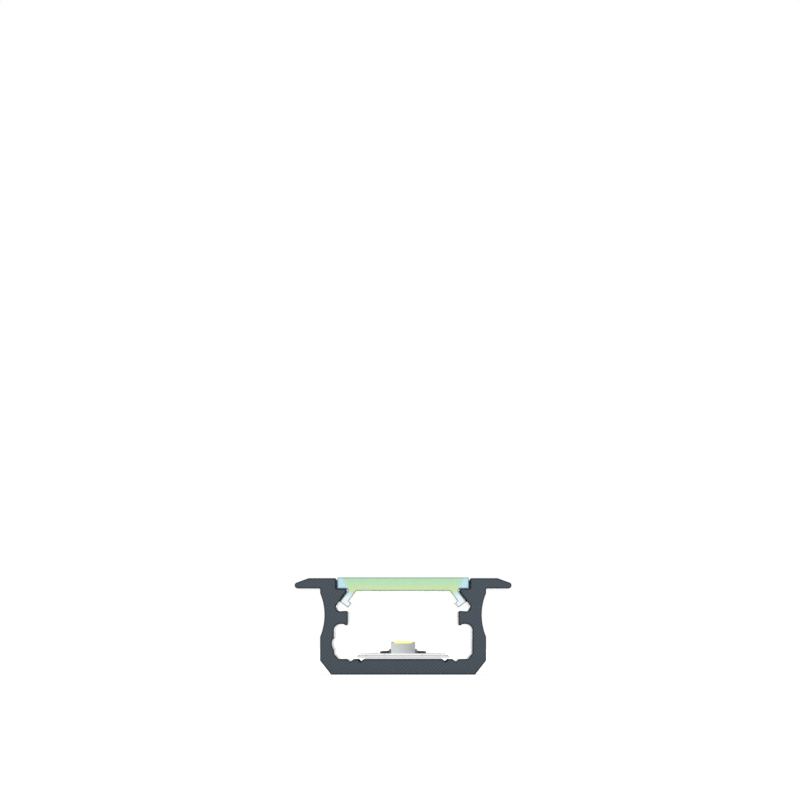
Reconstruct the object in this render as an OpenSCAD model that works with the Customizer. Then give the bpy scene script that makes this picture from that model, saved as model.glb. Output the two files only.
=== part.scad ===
// Recessed profile for a light strip: a flanged aluminium extrusion, its snap-in cover, and the
// strip of lamps that is stuck to its floor.
// The length runs along Y. X = 0 is the middle of the section, Y = 0 is the middle of the length,
// and Z = 0 is the underside of the base. All sizes are in millimetres.

/* [Length] */
// Cutting units of the strip, whose ends are flush with the profile and the cover
units = 2; // [1:1:3]
// Length of one cutting unit
unit_l = 50; // [40:1:60]
// Lamps in each cutting unit
lamps_per_unit = 3; // [1:1:3]

/* [Profile body] */
// Width over the flat cheeks, which fit a milled groove
body_w = 16; // [15:0.1:20]
// Thickness of the floor
floor_t = 1.5; // [1:0.1:3]
// Thickness of the side walls beside the strip
wall_t = 1.33; // [1.1:0.01:2]
// Height of the flat cheeks above the base
cheek_h = 3.65; // [2.5:0.05:5]
// Height of the flat collar under the flanges
collar_h = 0.45; // [0.25:0.05:0.8]
// Depth of the hollow waist between the cheeks and the collar
waist_depth = 0.42; // [0.1:0.02:0.6]
// Width of the slope at each foot
foot_slope_w = 1.05; // [0.3:0.05:1.3]
// Height of the slope at each foot
foot_slope_h = 1.35; // [0.3:0.05:2]
// Width of the slope between the floor and the walls, inside
corner_slope_w = 0.46; // [0.2:0.02:0.8]
// Height of the slope between the floor and the walls, inside
corner_slope_h = 0.54; // [0.2:0.02:1]

/* [Flanges] */
// How far each flange stands out past the cheeks
flange_out = 2.45; // [1.5:0.05:5]
// Thickness of the flanges
flange_t = 1; // [0.8:0.05:2]
// Width of the slope that thins each flange towards its edge
flange_slope_w = 1.35; // [0.5:0.05:1.45]
// Angle of that slope
flange_slope_a = 20; // [5:1:25]
// Radius in the corner under each flange
flange_root_r = 0.1; // [0.05:0.01:0.3]

/* [Cover pocket] */
// Depth of the pocket that takes the edges of the cover
pocket_depth = 1; // [0.8:0.05:2]
// Thickness of metal between the cheek's plane and the pocket
shoulder_t = 1.54; // [1.3:0.02:2.5]
// Radius of the pocket's upper edges
rim_r = 0.12; // [0.05:0.01:0.3]
// Radius in the pocket's inner corners
ledge_r = 0.08; // [0.02:0.01:0.1]
// How far each nose stands into the channel past the pocket
nose_w = 0.98; // [0.7:0.02:1.2]
// Radius of the noses
nose_r = 0.25; // [0.1:0.01:0.3]
// Height of the undercut that holds the cover's legs
undercut_h = 2.24; // [2:0.02:3]
// Angle of the undercut from upright
undercut_a = 37; // [32:1:40]
// Radius at the bottom of the undercut
undercut_r = 0.4; // [0.3:0.02:0.5]

/* [Ribs] */
// Height of the strip's bay, from the floor to the ribs
bay_h = 3.39; // [2.8:0.05:8]
// Thickness of the ribs
rib_t = 1.17; // [0.8:0.01:2]
// How far each rib stands in from the wall
rib_w = 1.34; // [1.2:0.02:2]
// How far the top of each rib rises towards its tip
rib_rise = 0.09; // [0:0.01:0.2]
// Width of the bead under the tip of each rib
bead_w = 0.4; // [0.34:0.01:0.6]
// Height of that bead
bead_h = 0.12; // [0.04:0.01:0.15]
// Radius of the ribs' tips
rib_r = 0.15; // [0.05:0.01:0.18]
// Radius where the underside of each rib meets the wall
arch_r = 0.6; // [0.2:0.02:0.8]

/* [Marks in the floor and wall] */
// Width of the grooves that mark where a strip goes
mark_w = 0.6; // [0.2:0.05:0.9]
// Depth of those grooves
mark_depth = 0.24; // [0.1:0.02:0.5]
// Distance between the two grooves of the narrow strip
mark_narrow = 8.2; // [7.8:0.1:8.8]
// Distance between the two grooves of the wide strip
mark_wide = 10.16; // [9.8:0.02:11]
// Radius of the round notch in the left wall
notch_r = 0.9; // [0.5:0.05:1.2]
// Depth of that notch
notch_depth = 0.2; // [0.05:0.01:0.3]
// Height of the middle of that notch above the floor
notch_h = 1.5; // [1.2:0.05:1.9]

/* [Cover] */
// Clearance between each edge of the cover and the pocket
cover_gap = 0.13; // [0.05:0.01:0.3]
// Thickness of the cover where it rests on the noses
cover_t = 1.07; // [0.8:0.01:2]
// How far the middle of the cover hangs below the noses' tops
cover_drop = 0.22; // [0.05:0.01:0.5]
// Thickness of the legs
leg_t = 0.63; // [0.4:0.01:0.75]
// Clearance between each leg and the undercut beside it
leg_gap = 0.085; // [0.05:0.005:0.2]
// Clearance between the tip of each leg and the rib below it
leg_end_gap = 0.33; // [0.15:0.01:0.5]
// How far the bead at the end of each leg stands in
foot_bead_w = 0.33; // [0.2:0.01:0.5]
// Length of that bead along the leg
foot_bead_l = 0.57; // [0.45:0.01:0.7]
// Radius of that bead
foot_bead_r = 0.16; // [0.05:0.01:0.18]
// Radius where the legs meet the cover
leg_root_r = 0.2; // [0.05:0.01:0.25]
// Radius of the cover's upper edges
cover_edge_r = 0.1; // [0.02:0.01:0.3]

/* [Strip] */
// Width of the adhesive tape
tape_w = 7.3; // [5:0.1:7.5]
// Thickness of the adhesive tape
tape_t = 0.13; // [0.05:0.01:0.3]
// Width of the circuit board
board_w = 8.8; // [8:0.1:9.5]
// Thickness of the circuit board
board_t = 0.21; // [0.1:0.01:0.5]
// Width of the white layer on the board
coverlay_w = 8.3; // [7.9:0.1:9]
// Thickness of the white layer
coverlay_t = 0.19; // [0.05:0.01:0.3]
// Length of the solder pads across a cut
pad_l = 3.2; // [2:0.1:5]
// Width of the solder pads
pad_w = 1.8; // [1:0.1:2.2]
// Distance from the middle of the strip to the middle of a solder pad
pad_x = 2.7; // [2:0.1:2.8]

/* [Lamps] */
// Width of the housing across the strip
lamp_w = 2.3; // [2:0.05:3]
// Length of the housing along the strip
lamp_l = 3; // [2.5:0.1:4]
// Height of the housing, with the rails
lamp_h = 1.1; // [0.9:0.02:1.6]
// Height of the rails that stand on the rim at both sides of the cup
rail_h = 0.1; // [0.05:0.01:0.2]
// Width of the cut corner that marks one pole
pole_mark_w = 0.35; // [0.1:0.05:0.4]
// Width of the rim round the gel
rim_w = 0.24; // [0.15:0.01:0.35]
// Depth of the cup that holds the gel
cup_depth = 0.6; // [0.3:0.02:0.7]
// Angle of the cup's wall from upright
cup_a = 25; // [5:1:35]
// Height of the gel's cushion above the rim
gel_rise = 0.21; // [0.05:0.01:0.3]
// Radius of the cushion's edge
gel_edge_r = 0.16; // [0.02:0.01:0.25]
// Distance from the cushion's edge to the rim
gel_inset = 0.03; // [0.01:0.01:0.1]
// How far the foot of each lead stands out from the housing
lead_out = 1.08; // [0.6:0.02:1.2]
// Width of the leads
lead_w = 2; // [1:0.1:2.4]
// Thickness of the foot at its end
lead_t = 0.21; // [0.1:0.01:0.3]
// Rise of the foot's top towards the housing
lead_rise = 0.05; // [0:0.01:0.1]
// Thickness of the upright part of each lead
upright_t = 0.23; // [0.1:0.01:0.3]
// Height of the upright part of each lead
upright_h = 0.42; // [0.38:0.01:0.6]
// Radius of the leads' bends and ends
lead_r = 0.09; // [0.02:0.01:0.1]
// How far each solder land reaches past the lead that it carries
land_margin = 0.15; // [0.05:0.01:0.25]

/* [Resistors] */
// Length of each resistor
resistor_l = 2; // [1.6:0.1:3]
// Width of each resistor
resistor_w = 1.25; // [0.8:0.05:1.6]
// Height of each resistor
resistor_h = 0.5; // [0.35:0.01:0.7]
// Length of the end caps
cap_l = 0.4; // [0.2:0.02:0.6]
// Thickness of metal that the end caps add on each side
cap_t = 0.03; // [0.01:0.01:0.1]

/* [Hidden] */
// Degrees of arc between two points of a rounded corner
arc_step = 12;
// Facets of the notch and of the lamps' cups
round_fn = 48;
// Radius that takes the sharpness off the smallest corners
small_r = 0.04;
// Small overrun that keeps a cut from ending in the surface that it opens
overrun = 0.1;

// Lengths along Y
profile_l = units * unit_l;
lamp_pitch = unit_l / lamps_per_unit;

// Levels, from the base up
rib_z = floor_t + bay_h;
rib_top_z = rib_z + rib_t;
ledge_z = rib_top_z + undercut_h;
profile_h = ledge_z + pocket_depth;
flange_z = profile_h - flange_t;

// Distances from the middle of the section
cheek_x = body_w / 2;
cavity_x = cheek_x - wall_t;
rib_x = cavity_x - rib_w;
pocket_x = cheek_x - shoulder_t;
flange_x = cheek_x + flange_out;

// The nose's corner before it is rounded, placed so that the rounded tip stands in by nose_w
nose_x = pocket_x - nose_w - nose_r * (tan(undercut_a) + 1 / cos(undercut_a) - 1);
undercut_x = nose_x + undercut_h * tan(undercut_a);

// Each flange ends in a round nearly as full as its thin edge allows
flange_edge_h = flange_t - flange_slope_w * tan(flange_slope_a);
flange_roundness = 0.98;
flange_tip_r = flange_roundness * flange_edge_h / (1 + tan((90 - flange_slope_a) / 2));

// The waist is one arc between the cheeks and the collar
waist_top_z = flange_z - collar_h;
waist_h = waist_top_z - cheek_h;
waist_r = (waist_h * waist_h / 4 + waist_depth * waist_depth) / (2 * waist_depth);
waist_a = asin(waist_h / 2 / waist_r);
// Steps of that arc, and the radius that eases both its ends
waist_steps = 9;
waist_end_r = 0.4;

// The cover's legs lie along the undercut: one way runs down the leg, the other out of it
down_leg = [sin(undercut_a), -cos(undercut_a)];
out_of_leg = [cos(undercut_a), sin(undercut_a)];
leg_outer = [nose_x, ledge_z] - leg_gap * out_of_leg;
leg_inner = leg_outer - leg_t * out_of_leg;
leg_end_z = rib_top_z + rib_rise + leg_end_gap + foot_bead_w * out_of_leg.y;
leg_inner_end = on_leg(leg_inner, leg_end_z);
cover_x = pocket_x - cover_gap;
cover_top_z = ledge_z + cover_t;
cover_under_z = ledge_z - cover_drop;

// The strip, from the floor up
board_z = floor_t + tape_t;
coverlay_z = board_z + board_t;
strip_z = coverlay_z + coverlay_t;

// The lamps' cup and leads
cup_r = lamp_w / 2 - rim_w;
rim_h = lamp_h - rail_h;
cup_bottom_h = rim_h - cup_depth;
cup_bottom_r = cup_r - cup_depth * tan(cup_a);
lead_end_x = lamp_w / 2 + lead_out;

SIDES = ["left", "right"];
ENDS = ["front", "back"];
POLES = ["plus", "minus"];
LAMPS = [for (i = [1:units * lamps_per_unit]) i];
UNITS = [for (i = [1:units]) i];
CUTS = [for (i = [1:units + 1]) i];

function unit(v) = v / norm(v);
function flat(corner) = [corner.x, corner.y];
function within_half_turn(a) = a > 180 ? a - 360 : a < -180 ? a + 360 : a;

// The arc that rounds one corner of an outline to radius r
function corner_arc(before, here, after, r) =
  let (
    back = unit(before - here),
    ahead = unit(after - here),
    half_a = acos(back * ahead) / 2,
    centre = here + unit(back + ahead) * r / sin(half_a),
    first = here + back * r / tan(half_a) - centre,
    last = here + ahead * r / tan(half_a) - centre,
    start_a = atan2(first.y, first.x),
    turn_a = within_half_turn(atan2(last.y, last.x) - start_a),
    steps = max(2, ceil(abs(turn_a) / arc_step))
  )
  [
    for (i = [0:steps])
      let (a = start_a + turn_a * i / steps)
      centre + r * [cos(a), sin(a)]
  ];

// A closed outline from its corners [x, y, r], each rounded to its own radius, or sharp at r = 0
function rounded(corners) =
  let (n = len(corners))
  [
    for (i = [0:n - 1])
      let (here = flat(corners[i]), r = corners[i][2])
      each r == 0
        ? [here]
        : corner_arc(flat(corners[(i + n - 1) % n]), here, flat(corners[(i + 1) % n]), r)
  ];

// A half outline joined to its mirror image across X = 0
function both_sides(half) =
  concat(half, [for (i = [len(half) - 1:-1:0]) [-half[i].x, half[i].y, half[i][2]]]);

// The point at height z on a line that runs down the leg through p
function on_leg(p, z) = p + down_leg * (p.y - z) / cos(undercut_a);

// The waist's arc, without its ends, from the cheek up to the collar
function waist_points() = [
  for (i = [1:waist_steps - 1])
    let (a = 180 + waist_a * (1 - 2 * i / waist_steps))
    [
      cheek_x - waist_depth + waist_r + waist_r * cos(a),
      (cheek_h + waist_top_z) / 2 + waist_r * sin(a),
      0
    ]
];

// Right half of the profile's section: up the outside, over the flange and down the inside
function profile_half() = concat(
  [
    [cheek_x - foot_slope_w, 0, 0],
    [cheek_x, foot_slope_h, 0],
    [cheek_x, cheek_h, waist_end_r]
  ],
  waist_points(),
  [
    [cheek_x, waist_top_z, waist_end_r],
    [cheek_x, flange_z, flange_root_r],
    [flange_x, flange_z, flange_tip_r],
    [flange_x, flange_z + flange_edge_h, flange_tip_r],
    [flange_x - flange_slope_w, profile_h, 0],
    [pocket_x, profile_h, rim_r],
    [pocket_x, ledge_z, ledge_r],
    [nose_x, ledge_z, nose_r],
    [undercut_x, rib_top_z, undercut_r],
    [rib_x, rib_top_z + rib_rise, rib_r],
    [rib_x, rib_z - bead_h, rib_r],
    [rib_x + bead_w - bead_h, rib_z - bead_h, small_r],
    [rib_x + bead_w, rib_z, small_r],
    [cavity_x, rib_z, arch_r],
    [cavity_x, floor_t + corner_slope_h, 0],
    [cavity_x - corner_slope_w, floor_t, 0]
  ]
);

// Right half of the cover's section: down the inside of the leg, round its bead and up to the edge
function cover_half() =
  let (
    bead_start = leg_inner_end - foot_bead_l * down_leg,
    into_bead = -foot_bead_w * out_of_leg,
    leg_outer_end = leg_inner_end + leg_t * out_of_leg,
    leg_start = on_leg(leg_inner, cover_under_z),
    leg_root = on_leg(leg_outer, ledge_z)
  )
  [
    [leg_start.x, leg_start.y, leg_root_r],
    [bead_start.x, bead_start.y, small_r],
    concat(bead_start + into_bead, foot_bead_r),
    concat(leg_inner_end + into_bead, small_r),
    concat(leg_outer_end, small_r),
    [leg_root.x, leg_root.y, leg_root_r],
    [cover_x, ledge_z, small_r],
    [cover_x, cover_top_z, cover_edge_r]
  ];

// A flat outline in X and Z, run along Y and centred on the middle of the length
module along_y(length) {
  rotate([90, 0, 0])
    linear_extrude(length, center = true)
      children();
}

// A V-shaped groove in the floor at x
module floor_mark(x) {
  slope = mark_w / 2 / mark_depth;
  translate([x, floor_t])
    polygon([
      [0, -mark_depth],
      [mark_w / 2 + overrun * slope, overrun],
      [-mark_w / 2 - overrun * slope, overrun]
    ]);
}

module profile_section() {
  difference() {
    polygon(rounded(both_sides(profile_half())));
    for (side = [-1, 1], distance = [mark_narrow, mark_wide])
      floor_mark(side * distance / 2);
    translate([notch_r - notch_depth - cavity_x, floor_t + notch_h])
      circle(r = notch_r, $fn = round_fn);
  }
}

// The extrusion: base, walls, ribs, noses and flanges in one piece
module profile() {
  color("slategray")
    along_y(profile_l)
      profile_section();
}

// The snap-in cover with its two beaded legs
module cover() {
  color("lightblue", 0.7)
    along_y(profile_l)
      polygon(rounded(both_sides(cover_half())));
}

// A flat layer of the strip, w wide and t thick, from height z up
module strip_layer(w, t, z) {
  translate([-w / 2, -profile_l / 2, z])
    cube([w, profile_l, t]);
}

module tape() {
  color("lightgray")
    strip_layer(tape_w, tape_t, floor_t);
}

module board() {
  color("whitesmoke")
    strip_layer(board_w, board_t, board_z);
}

function lamp_y(i) = (i - 0.5) * lamp_pitch - profile_l / 2;
function resistor_y(i) = (i - 1) * unit_l + lamp_pitch * min(1, lamps_per_unit - 0.5) - profile_l / 2;
function cut_y(i) = (i - 1) * unit_l - profile_l / 2;

// One lead's solder land, from below the housing's edge to past the end of the foot
module lamp_land(i, side) {
  low_x = side == "left" ? -lead_end_x - land_margin : lamp_w / 2 - land_margin;
  translate([low_x, lamp_y(i) - lead_w / 2 - land_margin, coverlay_z])
    cube([lead_out + 2 * land_margin, lead_w + 2 * land_margin, coverlay_t]);
}

// One resistor's solder land, under the cap at that end
module resistor_land(i, end) {
  away = end == "front" ? -1 : 1;
  translate([
    -resistor_w / 2 - land_margin,
    resistor_y(i) + away * (resistor_l - cap_l) / 2 - cap_l / 2 - land_margin,
    coverlay_z
  ])
    cube([resistor_w + 2 * land_margin, cap_l + 2 * land_margin, coverlay_t]);
}

module lamp_lands() {
  color("silver")
    for (i = LAMPS, side = SIDES) lamp_land(i, side);
}

module resistor_lands() {
  color("silver")
    for (i = UNITS, end = ENDS) resistor_land(i, end);
}

// One solder pad across a cut, ending with the strip where the cut is at its end
module solder_pad(i, pole) {
  low_y = max(cut_y(i) - pad_l / 2, -profile_l / 2);
  high_y = min(cut_y(i) + pad_l / 2, profile_l / 2);
  color("silver")
    translate([(pole == "plus" ? pad_x : -pad_x) - pad_w / 2, low_y, coverlay_z])
      cube([pad_w, high_y - low_y, coverlay_t]);
}

// The white layer, open over every pad and land
module coverlay() {
  color("white")
    difference() {
      strip_layer(coverlay_w, coverlay_t, coverlay_z);
      lamp_lands();
      resistor_lands();
      for (i = CUTS, pole = POLES) solder_pad(i, pole);
    }
}

// A lamp's moulded housing, with a rail at each side of the cup and a back corner cut to mark a pole
module lamp_housing(i) {
  x = lamp_w / 2;
  y = lamp_l / 2;
  color("gainsboro")
    translate([0, lamp_y(i), strip_z])
      difference() {
        linear_extrude(lamp_h)
          polygon([[-x, -y], [x, -y], [x, y - pole_mark_w], [x - pole_mark_w, y], [-x, y]]);
        translate([-cup_r, -y - overrun, rim_h])
          cube([2 * cup_r, lamp_l + 2 * overrun, rail_h + overrun]);
        translate([0, 0, cup_bottom_h])
          cylinder(h = cup_depth, r1 = cup_bottom_r, r2 = cup_r, $fn = round_fn);
      }
}

// The yellow gel that fills a lamp's cup and stands above its rim as a low cushion
module lamp_gel(i) {
  color("khaki")
    translate([0, lamp_y(i), strip_z])
      rotate_extrude($fn = round_fn)
        polygon(rounded([
          [0, cup_bottom_h, 0],
          [cup_bottom_r, cup_bottom_h, 0],
          [cup_r, rim_h, 0],
          [cup_r - gel_inset, rim_h, 0],
          [cup_r - gel_inset, rim_h + gel_rise, gel_edge_r],
          [0, rim_h + gel_rise, 0]
        ]));
}

// A bent lead: its upright lies against the housing and its foot on the solder land
module lamp_lead(i, side) {
  x = lamp_w / 2;
  color("dimgray")
    translate([0, lamp_y(i), strip_z])
      mirror([side == "left" ? 1 : 0, 0, 0])
        along_y(lead_w)
          polygon(rounded([
            [x, 0, 0],
            [lead_end_x, 0, lead_r],
            [lead_end_x, lead_t, lead_r],
            [x + upright_t, lead_t + lead_rise, small_r],
            [x + upright_t, upright_h, lead_r],
            [x, upright_h, 0]
          ]));
}

// A resistor's ceramic body, held between its two caps
module resistor(i) {
  length = resistor_l - 2 * cap_l;
  color("black")
    translate([-resistor_w / 2, resistor_y(i) - length / 2, strip_z + cap_t])
      cube([resistor_w, length, resistor_h - 2 * cap_t]);
}

// The metal cap on one end of a resistor
module resistor_cap(i, end) {
  away = end == "front" ? -1 : 1;
  color("silver")
    translate([
      -resistor_w / 2 - cap_t,
      resistor_y(i) + away * (resistor_l - cap_l) / 2 - cap_l / 2,
      strip_z
    ])
      cube([resistor_w + 2 * cap_t, cap_l, resistor_h]);
}

profile();
cover();
tape();
board();
coverlay();
lamp_lands();
resistor_lands();
for (i = LAMPS) {
  lamp_housing(i);
  lamp_gel(i);
  for (side = SIDES)
    lamp_lead(i, side);
}
for (i = UNITS) {
  resistor(i);
  for (end = ENDS)
    resistor_cap(i, end);
}
for (i = CUTS, pole = POLES)
  solder_pad(i, pole);
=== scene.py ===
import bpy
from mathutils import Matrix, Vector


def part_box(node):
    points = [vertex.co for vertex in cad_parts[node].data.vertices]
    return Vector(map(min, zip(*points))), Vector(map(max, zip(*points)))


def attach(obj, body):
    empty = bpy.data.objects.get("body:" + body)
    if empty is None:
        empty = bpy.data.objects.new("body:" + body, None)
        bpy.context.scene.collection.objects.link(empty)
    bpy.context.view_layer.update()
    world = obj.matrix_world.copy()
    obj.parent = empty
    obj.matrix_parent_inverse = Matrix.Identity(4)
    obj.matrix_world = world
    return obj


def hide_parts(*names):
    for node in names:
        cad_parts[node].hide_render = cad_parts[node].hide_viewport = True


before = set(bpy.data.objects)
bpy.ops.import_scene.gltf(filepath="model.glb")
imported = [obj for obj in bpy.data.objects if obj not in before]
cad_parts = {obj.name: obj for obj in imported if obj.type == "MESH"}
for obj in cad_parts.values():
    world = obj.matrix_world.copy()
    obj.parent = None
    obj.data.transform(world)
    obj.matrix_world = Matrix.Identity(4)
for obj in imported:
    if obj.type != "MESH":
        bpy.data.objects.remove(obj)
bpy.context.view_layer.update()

import math

import bpy
import numpy as np
from bpy.props import FloatProperty, FloatVectorProperty, PointerProperty
from bpy.types import NodeSocket, Operator, Panel, PropertyGroup

# A recessed aluminium profile with its snap-in cover and its strip of lamps.
# The length runs along Y, X = 0 is the middle of the section and Z = 0 is the underside of the base.

bl_info = {
    "name": "Recessed Light Profile",
    "version": (1, 0, 0),
    "blender": (4, 5, 0),
    "location": "View3D > Sidebar > Light Profile",
    "description": "Skins, finishes and stage for a recessed light profile",
    "category": "Object",
}

# One millimetre, in metres
MM = 0.001

# Width and height of the picture, in pixels
IMAGE_PX = 800

# Width of the camera's sensor, in its own millimetres
SENSOR_W = 36.0

# The two rigid bodies, as the joint names them
CHANNEL = "channel"
COVER = "cover"

# Directions of X on the two sides of the section
SIDES = {"left": -1, "right": 1}

# Radius below which an arc is only a point
LEAST_R = 0.002 * MM


def count(stem):
    """How many numbered CAD nodes have names that start with this stem."""
    return sum(name.startswith(stem) and name[len(stem):].isdigit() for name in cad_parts)


LAMPS = range(1, count("lamp_housing_") + 1)
RESISTORS = range(1, count("resistor_") + 1)
CUTS = range(1, count("solder_pad_plus_") + 1)


def linear(hex_code):
    """The linear colour of an sRGB hex code."""
    shares = np.array([int(hex_code[i:i + 2], 16) for i in (1, 3, 5)]) / 255
    low = shares / 12.92
    high = ((shares + 0.055) / 1.055) ** 2.4
    return (*np.where(shares <= 0.04045, low, high).tolist(), 1.0)


def length(name, description, millimetres):
    """A size that the sidebar shows, given in millimetres."""
    return FloatProperty(
        name=name,
        description=description,
        default=millimetres * MM,
        min=0.0,
        precision=5,
        unit="LENGTH",
    )


def angle(name, description, degrees):
    """An angle that the sidebar shows, given in degrees."""
    return FloatProperty(
        name=name,
        description=description,
        default=math.radians(degrees),
        min=0.0,
        unit="ROTATION",
    )


def colour(name, description, hex_code):
    """A colour that the sidebar shows, given as an sRGB hex code."""
    return FloatVectorProperty(
        name=name,
        description=description,
        default=linear(hex_code),
        size=4,
        min=0.0,
        max=1.0,
        subtype="COLOR",
    )


class ProfileSizes(PropertyGroup):
    """Sizes of the extruded profile."""

    body_w: length("Body width", "Width over the flat cheeks", 16)
    floor_t: length("Floor", "Thickness of the floor", 1.5)
    wall_t: length("Walls", "Thickness of the side walls beside the strip", 1.33)
    cheek_h: length("Cheeks", "Height of the flat cheeks above the base", 3.65)
    collar_h: length("Collar", "Height of the flat collar under the flanges", 0.45)
    waist_depth: length("Waist", "Depth of the hollow waist between cheek and collar", 0.42)
    waist_end_r: length("Waist ends", "Radius that eases both ends of the waist", 0.4)
    foot_slope_w: length("Foot slope width", "Width of the slope at each foot", 1.05)
    foot_slope_h: length("Foot slope height", "Height of the slope at each foot", 1.35)
    corner_slope_w: length("Corner slope width", "Width of the slope beside the floor", 0.46)
    corner_slope_h: length("Corner slope height", "Height of the slope beside the floor", 0.54)
    flange_t: length("Flanges", "Thickness of the flanges", 1)
    flange_slope_w: length("Flange slope", "Width of the slope that thins the flange", 1.35)
    flange_slope_a: angle("Flange slope angle", "Angle of that slope", 20)
    flange_root_r: length("Flange roots", "Radius in the corner under each flange", 0.1)
    pocket_depth: length("Pocket", "Depth of the pocket that takes the cover", 1)
    shoulder_t: length("Shoulders", "Metal between the cheek's plane and the pocket", 1.54)
    rim_r: length("Rims", "Radius of the pocket's upper edges", 0.12)
    ledge_r: length("Ledges", "Radius in the pocket's inner corners", 0.08)
    nose_w: length("Noses", "How far each nose stands in past the pocket", 0.98)
    nose_r: length("Nose radius", "Radius of the noses", 0.25)
    undercut_h: length("Undercut", "Height of the undercut below each nose", 2.24)
    undercut_a: angle("Undercut angle", "Angle of the undercut from upright", 37)
    undercut_r: length("Undercut radius", "Radius at the bottom of the undercut", 0.4)
    rib_t: length("Ribs", "Thickness of the ribs", 1.17)
    rib_w: length("Rib width", "How far each rib stands in from the wall", 1.34)
    rib_rise: length("Rib rise", "How far each rib rises towards its tip", 0.09)
    rib_r: length("Rib radius", "Radius of the ribs' tips", 0.15)
    bead_w: length("Bead width", "Width of the bead under each rib's tip", 0.4)
    bead_h: length("Bead height", "Height of that bead", 0.12)
    arch_r: length("Arches", "Radius where each rib's underside meets the wall", 0.6)
    mark_w: length("Floor marks", "Width of the grooves in the floor", 0.6)
    mark_depth: length("Floor mark depth", "Depth of those grooves", 0.24)
    mark_narrow: length("Narrow marks", "Distance between the inner pair of grooves", 8.2)
    mark_wide: length("Wide marks", "Distance between the outer pair of grooves", 10.16)
    notch_r: length("Notch", "Radius of the round notch in the left wall", 0.9)
    notch_depth: length("Notch depth", "Depth of that notch", 0.2)
    notch_h: length("Notch height", "Height of the notch's middle above the floor", 1.5)
    small_r: length("Small corners", "Radius of the smallest corners", 0.04)
    edge_break: length("Broken edge", "Width of the broken edge round each sawn end", 0.12)


class CoverSizes(PropertyGroup):
    """Sizes of the snap-in cover."""

    drop: length("Drop", "How far the cover's middle hangs below the ledges", 0.22)
    leg_t: length("Legs", "Thickness of the legs", 0.63)
    leg_gap: length("Leg gap", "Clearance between leg and undercut", 0.085)
    bead_w: length("Foot bead width", "How far the bead on each leg stands in", 0.33)
    bead_l: length("Foot bead length", "Length of that bead along the leg", 0.57)
    bead_r: length("Foot bead radius", "Radius of that bead's upper corner", 0.16)
    bead_end_r: length("Foot bead end", "Radius of that bead's lower corner", 0.12)
    leg_root_r: length("Leg roots", "Radius where the legs meet the cover", 0.2)
    edge_r: length("Upper edges", "Radius of the cover's upper edges", 0.1)
    small_r: length("Small corners", "Radius of the smallest corners", 0.04)
    edge_break: length("Broken edge", "Width of the broken edge round each cut end", 0.09)


class StripSizes(PropertyGroup):
    """Sizes of the strip's lamps and solder."""

    rim_w: length("Lamp rim", "Width of the rim round the gel", 0.24)
    rail_h: length("Lamp rails", "Height of the rails beside the cup", 0.1)
    cup_depth: length("Cup depth", "Depth of the cup that holds the gel", 0.6)
    cup_a: angle("Cup angle", "Angle of the cup's wall from upright", 25)
    pole_mark_w: length("Pole mark", "Width of the cut corner that marks a pole", 0.35)
    draft: length("Draft", "How far the housing's walls lean in to its top", 0.01)
    gel_inset: length("Gel inset", "Distance from the gel's edge to the rim", 0.03)
    gel_edge_r: length("Gel edge", "Radius of the gel's upper edge", 0.16)
    lead_t: length("Leads", "Thickness of the leads' feet", 0.21)
    lead_rise: length("Lead rise", "Rise of the foot towards the housing", 0.05)
    upright_t: length("Uprights", "Thickness of the leads' upright parts", 0.23)
    lead_r: length("Lead bends", "Radius of the leads' bends and ends", 0.09)
    land_margin: length("Lands", "How far each solder land reaches past its lead", 0.15)
    solder_rise: length("Solder", "How far solder climbs each foot and pad", 0.05)
    mould_r: length("Moulded edges", "Radius of the moulded edges", 0.03)
    tape_r: length("Tape edges", "Radius of the tape's slit edges", 0.04)
    board_r: length("Board edges", "Radius of the board's edges", 0.04)
    pad_r: length("Pad edges", "Radius of the solder pads' edges", 0.05)


class Finishes(PropertyGroup):
    """Colours of the finishes."""

    anodised: colour("Anodised skin", "Slate anodised aluminium", "#3d434b")
    sawn_dark: colour("Sawn end, dark", "Troughs of the saw marks", "#40474f")
    sawn_light: colour("Sawn end, light", "Crests of the saw marks", "#4e565f")
    cover_edge: colour("Cover edges", "Light blue acrylic at the cover's edges", "#bde4f3")
    # Painted light: these greens stand in for the lamps' yellow light in the cover
    cover_painted_light_top: colour("Cover top", "Green that the lamps give the cover, above", "#addcbc")
    cover_painted_light_under: colour("Cover underside", "Green that the lamps give it, below", "#cde4a9")
    cover_leg: colour("Cover legs", "Pale blue of the thin legs", "#ecf7fc")
    tape: colour("Tape", "Grey adhesive foam", "#e2e5e8")
    board: colour("Board", "Core of the circuit board", "#f3f5f7")
    # Foil and painted shade: the grey of the lines at the board's faces and sides
    board_foil_and_shade: colour("Board skins", "Foil on both faces of the board", "#929498")
    coverlay: colour("Coverlay", "White solder mask", "#f4f5f5")
    # Painted light and painted shade: the housing is lighter on its left and darker on its right, as if lit
    # from the left
    housing_painted_light: colour("Housing, left", "White moulding towards the light", "#e4e6e5")
    housing_painted_shade: colour("Housing, right", "White moulding away from the light", "#b4b6ba")
    # Painted shade: the colour that greys the rails' tops
    rail: colour("Housing rails", "Greyed rails beside the cup", "#8d8d84")
    gel: colour("Gel", "Yellow silicone gel", "#fff25a")
    gel_glow: colour("Gel glow", "Light of the gel", "#fff98c")
    lead: colour("Leads", "Black-oxidised copper leads", "#4a4b4e")
    # The colour of the leads' upright parts, drawn paler than the rest
    lead_upright_pale: colour("Leads, worn", "Leads where the bend has worn them paler", "#8c9094")
    tin: colour("Tin", "Bright tinned copper", "#e8eaec")
    glaze: colour("Resistor glaze", "Black glaze on the resistors", "#1c1d20")
    ceramic: colour("Resistor body", "White fired ceramic", "#e4e2dc")
    floor: colour("Floor", "Plain pale floor", "#e9e9e8")


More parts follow.
